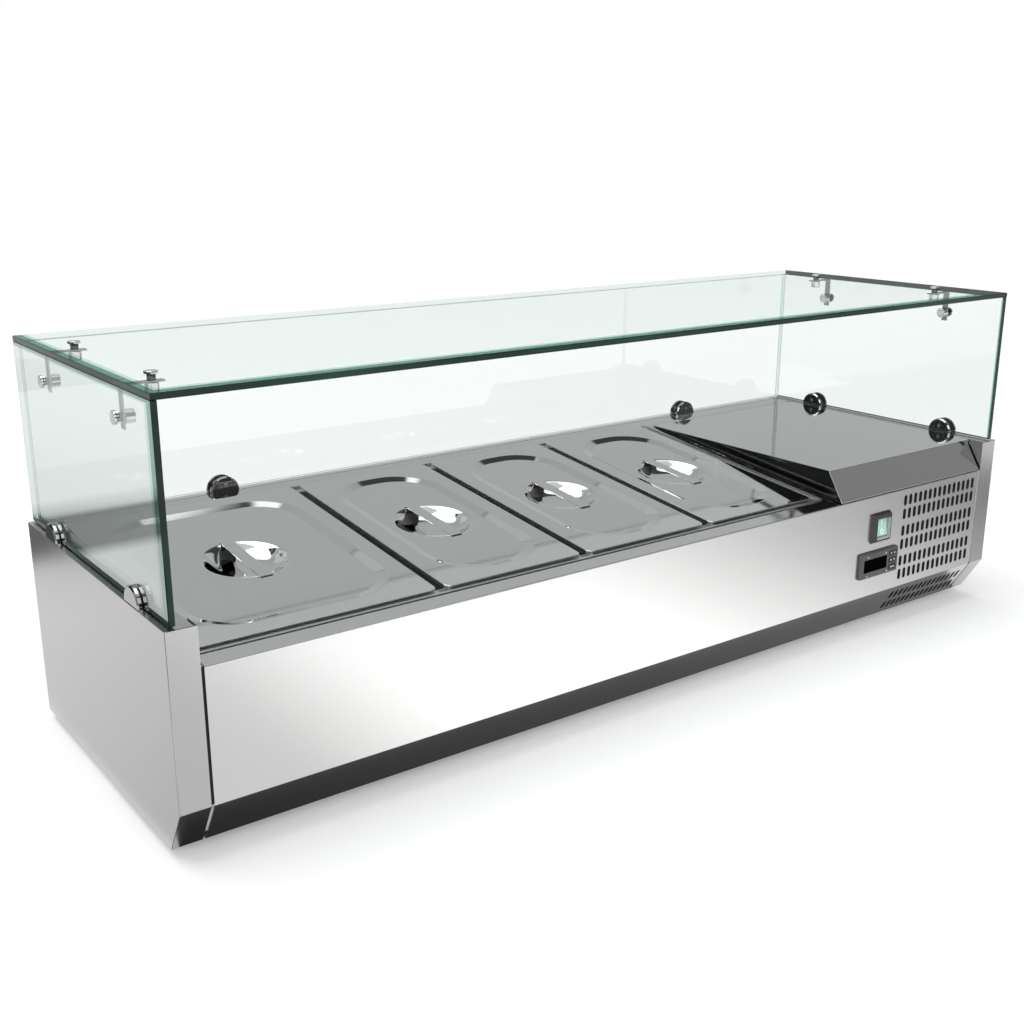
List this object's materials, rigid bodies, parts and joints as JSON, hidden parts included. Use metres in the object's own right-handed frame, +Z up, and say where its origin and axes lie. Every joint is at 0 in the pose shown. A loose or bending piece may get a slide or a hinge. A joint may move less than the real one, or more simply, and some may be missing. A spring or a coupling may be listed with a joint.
{
  "type": "refrigerated counter",
  "caption": "Countertop refrigerated counter: stainless case with lidded pans in a sloping chilled well, a cooling unit beside it and a glass canopy.",
  "frame": {"origin": "on the worktop, under the middle of the counter", "axes": "+X along the counter towards the cooling unit, +Y away from the operator towards the guests, +Z up"},
  "size_m": [1.2, 0.405, 0.4376],
  "materials": {
    "case_steel": "satin brushed",
    "top_steel": "satin brushed",
    "tank_steel": "satin",
    "pan_steel": "bright rolled",
    "lid_steel": "bright rolled",
    "galvanised_sheet": "galvanised",
    "black_rubber": "matte",
    "zinc_screw": "zinc plated",
    "foam": "closed-cell foam",
    "clear_glass": "polished",
    "chrome_fitting": "polished",
    "clear_pad": "translucent",
    "black_plastic": "satin",
    "green_rocker": "translucent gloss",
    "dark_window": "gloss",
    "button_plastic": "satin",
    "condenser_alloy": "mill",
    "fan_plastic": "satin",
    "motor_housing": "painted",
    "compressor_paint": "semi-gloss",
    "terminal_plastic": "matte",
    "copper_tube": "bright drawn copper",
    "probe_steel": "satin",
    "drain_plastic": "satin"
  },
  "bodies": {
    "case": {"left_end_panel": "case_steel", "right_end_panel": "case_steel", "front_panel": "case_steel", "back_panel": "case_steel", "base_tray": "galvanised_sheet", "rubber_feet": "black_rubber", "case_screws": "zinc_screw", "deck": "top_steel", "bulkhead": "galvanised_sheet", "tank_liner": "tank_steel", "pan_rails": "tank_steel", "insulation": "foam", "compressor_hood": "top_steel", "left_glass": "clear_glass", "right_glass": "clear_glass", "back_glass": "clear_glass", "top_glass": "clear_glass", "glass_clamps": "chrome_fitting", "clamp_pads": "clear_pad", "clamp_screws": "zinc_screw", "corner_brackets": "chrome_fitting", "knob_caps": "chrome_fitting", "knob_barrels": "chrome_fitting", "switch_housing": "black_plastic", "thermostat_housing": "black_plastic", "thermostat_window": "dark_window", "condenser_coil": "condenser_alloy", "condenser_fins": "condenser_alloy", "fan_shroud": "galvanised_sheet", "fan_motor": "motor_housing", "motor_bracket": "galvanised_sheet", "compressor_shell": "compressor_paint", "compressor_mounts": "black_rubber", "terminal_cover": "terminal_plastic", "filter_drier": "copper_tube", "discharge_pipe": "copper_tube", "liquid_pipe": "copper_tube", "capillary_tube": "copper_tube", "suction_pipe": "copper_tube", "evaporator_tube": "copper_tube", "temperature_probe": "probe_steel", "drain_tube": "drain_plastic", "cable_bushing": "black_rubber"},
    "half_pan": {"half_pan": "pan_steel"},
    "half_lid": {"half_lid": "lid_steel", "half_lid_strap": "lid_steel"},
    "third_pan_1": {"third_pan_1": "pan_steel"},
    "third_lid_1": {"third_lid_1": "lid_steel", "third_lid_strap_1": "lid_steel"},
    "third_pan_2": {"third_pan_2": "pan_steel"},
    "third_lid_2": {"third_lid_2": "lid_steel", "third_lid_strap_2": "lid_steel"},
    "third_pan_3": {"third_pan_3": "pan_steel"},
    "third_lid_3": {"third_lid_3": "lid_steel", "third_lid_strap_3": "lid_steel"},
    "switch_rocker": {"switch_rocker": "green_rocker"},
    "thermostat_up_button": {"thermostat_up_button": "button_plastic"},
    "thermostat_down_button": {"thermostat_down_button": "button_plastic"},
    "thermostat_set_button": {"thermostat_set_button": "button_plastic"},
    "fan_blade": {"fan_blade": "fan_plastic"}
  },
  "joints": [
    {"name": "half_pan_lift", "type": "slide", "parent": "case", "child": "half_pan", "axis": [0, -0.1079, 0.9942], "range_m": [0, 0.108]},
    {"name": "half_lid_lift", "type": "slide", "parent": "half_pan", "child": "half_lid", "axis": [0, -0.1079, 0.9942], "range_m": [0, 0.06]},
    {"name": "third_pan_1_lift", "type": "slide", "parent": "case", "child": "third_pan_1", "axis": [0, -0.1079, 0.9942], "range_m": [0, 0.108]},
    {"name": "third_lid_1_lift", "type": "slide", "parent": "third_pan_1", "child": "third_lid_1", "axis": [0, -0.1079, 0.9942], "range_m": [0, 0.06]},
    {"name": "third_pan_2_lift", "type": "slide", "parent": "case", "child": "third_pan_2", "axis": [0, -0.1079, 0.9942], "range_m": [0, 0.108]},
    {"name": "third_lid_2_lift", "type": "slide", "parent": "third_pan_2", "child": "third_lid_2", "axis": [0, -0.1079, 0.9942], "range_m": [0, 0.06]},
    {"name": "third_pan_3_lift", "type": "slide", "parent": "case", "child": "third_pan_3", "axis": [0, -0.1079, 0.9942], "range_m": [0, 0.108]},
    {"name": "third_lid_3_lift", "type": "slide", "parent": "third_pan_3", "child": "third_lid_3", "axis": [0, -0.1079, 0.9942], "range_m": [0, 0.06]},
    {"name": "power_switch", "type": "hinge", "parent": "case", "child": "switch_rocker", "pos_m": [0.358, -0.1965, 0.1496], "axis": [1, 0, 0], "range_deg": [0, 14]},
    {"name": "thermostat_up_button_press", "type": "slide", "parent": "case", "child": "thermostat_up_button", "axis": [0, 1, 0], "range_m": [0, 0.0006], "stiffness_N_per_m": 200},
    {"name": "thermostat_down_button_press", "type": "slide", "parent": "case", "child": "thermostat_down_button", "axis": [0, 1, 0], "range_m": [0, 0.0006], "stiffness_N_per_m": 200},
    {"name": "thermostat_set_button_press", "type": "slide", "parent": "case", "child": "thermostat_set_button", "axis": [0, 1, 0], "range_m": [0, 0.0006], "stiffness_N_per_m": 200},
    {"name": "fan_spin", "type": "hinge", "parent": "case", "child": "fan_blade", "pos_m": [0.48131, -0.135, 0.0853], "axis": [0, 1, 0], "continuous": true}
  ]
}
